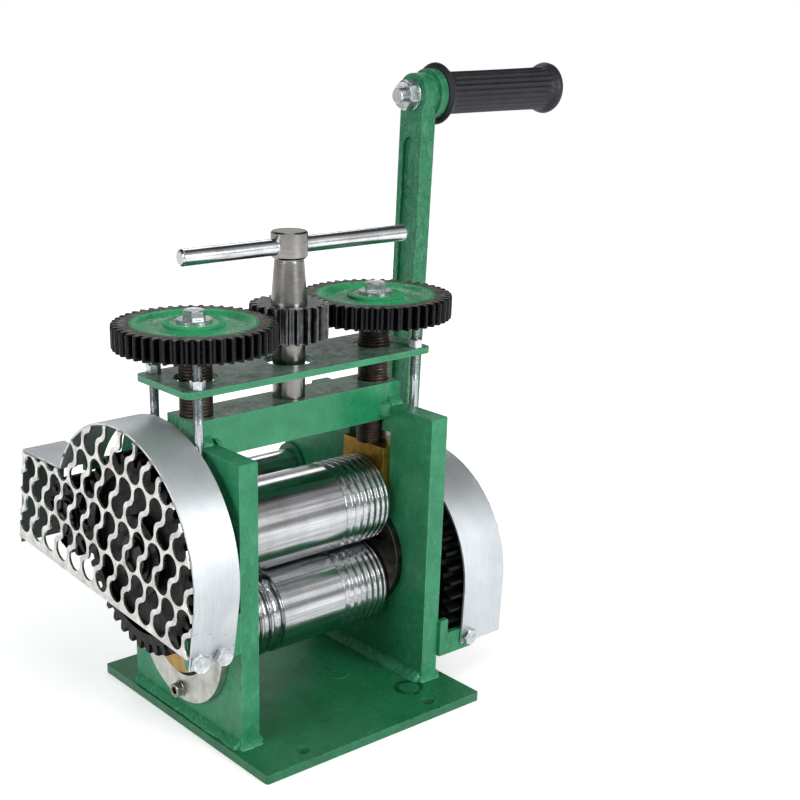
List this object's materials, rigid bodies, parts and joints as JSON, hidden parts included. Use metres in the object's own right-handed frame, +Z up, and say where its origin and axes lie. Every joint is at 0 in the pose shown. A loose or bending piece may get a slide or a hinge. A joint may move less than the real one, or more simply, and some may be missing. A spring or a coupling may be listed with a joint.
{
  "type": "jewellers rolling mill",
  "caption": "Hand cranked bench rolling mill: two grooved rollers in a welded frame, geared drive with guards and a geared screw down with a T bar.",
  "frame": {"origin": "centre of the four bolt holes in the base plate, at its underside", "axes": "+X along the rollers towards the crank, +Y to the back, +Z up"},
  "size_m": [0.4125, 0.2348, 0.3842],
  "materials": {
    "green_enamel": "semi gloss hammered enamel over welded steel",
    "black_gear": "black oxide, cut teeth",
    "bright_steel": "ground and polished",
    "turned_steel": "turned, dull",
    "zinc": "zinc plated",
    "screw_steel": "oiled, light rust",
    "brass": "rough milled",
    "bronze": "turned",
    "spring_steel": "oiled",
    "guard_sheet": "brushed sheet",
    "guard_mesh": "perforated sheet, cut edges",
    "grip_rubber": "moulded, fluted"
  },
  "bodies": {
    "root": {"base_plate": "green_enamel", "top_beam": "green_enamel", "weld_beads": "green_enamel", "top_plate": "green_enamel", "frame_studs": "zinc", "stud_nuts": "zinc", "bearing_flange": "zinc", "flange_bolts": "zinc", "lift_springs": "spring_steel", "guard_bolts": "zinc", "idler_axle": "turned_steel", "side_plate_left": "green_enamel", "side_plate_right": "green_enamel", "screw_nut_left": "bronze", "screw_nut_right": "bronze", "lower_bush_left": "brass", "lower_bush_right": "brass", "bearing_face_left": "turned_steel", "bearing_face_right": "turned_steel", "crank_shaft_bush_left": "bronze", "crank_shaft_bush_right": "bronze", "guard_band_left": "guard_sheet", "guard_band_right": "guard_sheet", "guard_face_left": "guard_mesh", "guard_face_right": "guard_mesh", "guard_lugs_left": "green_enamel", "guard_lugs_right": "green_enamel"},
    "crank": {"crank_shaft": "bright_steel", "crank_pinion_left": "black_gear", "crank_pinion_right": "black_gear", "crank_rings": "zinc", "crank_arm": "green_enamel", "arm_cross_pin": "zinc", "handle_pin": "zinc", "handle_nut": "zinc"},
    "grip": {"handle_grip": "grip_rubber"},
    "idler": {"idler_gear": "black_gear"},
    "lower_roller": {"lower_roller": "bright_steel", "lower_roller_gear": "black_gear", "lower_roller_ring": "zinc"},
    "upper_bearings": {"upper_bearing_block_left": "brass", "upper_bearing_block_right": "brass"},
    "upper_bushes": {"upper_bush_left": "bronze", "upper_bush_right": "bronze"},
    "upper_roller": {"upper_roller": "bright_steel", "upper_roller_gear": "black_gear", "upper_roller_ring": "zinc"},
    "spindle": {"adjusting_spindle": "turned_steel", "spindle_pinion": "turned_steel", "tommy_bar": "bright_steel"},
    "screw_left": {"pressure_screw_left": "screw_steel", "screw_gear_left": "black_gear", "screw_cap_left": "zinc"},
    "screw_right": {"pressure_screw_right": "screw_steel", "screw_gear_right": "black_gear", "screw_cap_right": "zinc"}
  },
  "joints": [
    {"name": "crank_turn", "type": "hinge", "parent": "root", "child": "crank", "pos_m": [0, 0.082, 0.1208], "axis": [1, 0, 0], "continuous": true},
    {"name": "grip_spin", "type": "hinge", "parent": "crank", "child": "grip", "pos_m": [0.24, 0.07564, 0.36372], "axis": [1, 0, 0], "continuous": true},
    {"name": "idler_turn", "type": "hinge", "parent": "root", "child": "idler", "pos_m": [0.1, 0.07911, 0.0774], "axis": [1, 0, 0], "continuous": true},
    {"name": "lower_roller_turn", "type": "hinge", "parent": "root", "child": "lower_roller", "pos_m": [0, 0.001, 0.0626], "axis": [1, 0, 0], "continuous": true},
    {"name": "spindle_turn", "type": "hinge", "parent": "root", "child": "spindle", "pos_m": [0, 0.001, 0.24], "axis": [0, 0, 1], "range_deg": [-1206, 302]},
    {"name": "upper_lift", "type": "slide", "parent": "root", "child": "upper_bearings", "axis": [0, 0, 1], "range_m": [-0.001, 0.004], "deforming": ["lift_springs"]},
    {"name": "upper_mesh_roll", "type": "hinge", "parent": "upper_bearings", "child": "upper_bushes", "pos_m": [0, 0.001, 0.1208], "axis": [1, 0, 0], "range_deg": [-4, 1]},
    {"name": "upper_roller_turn", "type": "hinge", "parent": "upper_bushes", "child": "upper_roller", "pos_m": [0, 0.001, 0.1208], "axis": [1, 0, 0], "continuous": true},
    {"name": "screw_left_turn", "type": "hinge", "parent": "upper_bearings", "child": "screw_left", "pos_m": [-0.068, 0.001, 0.248], "axis": [0, 0, 1], "range_deg": [-145, 577]},
    {"name": "screw_right_turn", "type": "hinge", "parent": "upper_bearings", "child": "screw_right", "pos_m": [0.068, 0.001, 0.248], "axis": [0, 0, 1], "range_deg": [-145, 577]}
  ],
  "couplings": [
    {"joint": "idler_turn", "follows": "crank_turn", "ratio": -1.0714},
    {"joint": "lower_roller_turn", "follows": "crank_turn", "ratio": 0.38462},
    {"joint": "upper_roller_turn", "follows": "crank_turn", "ratio": -0.38462},
    {"joint": "screw_left_turn", "follows": "upper_lift", "rad_per_m": 2513.3},
    {"joint": "screw_right_turn", "follows": "upper_lift", "rad_per_m": 2513.3},
    {"joint": "spindle_turn", "follows": "upper_lift", "rad_per_m": -5255},
    {"joint": "upper_mesh_roll", "follows": "upper_lift", "rad_per_m": -17.094}
  ]
}
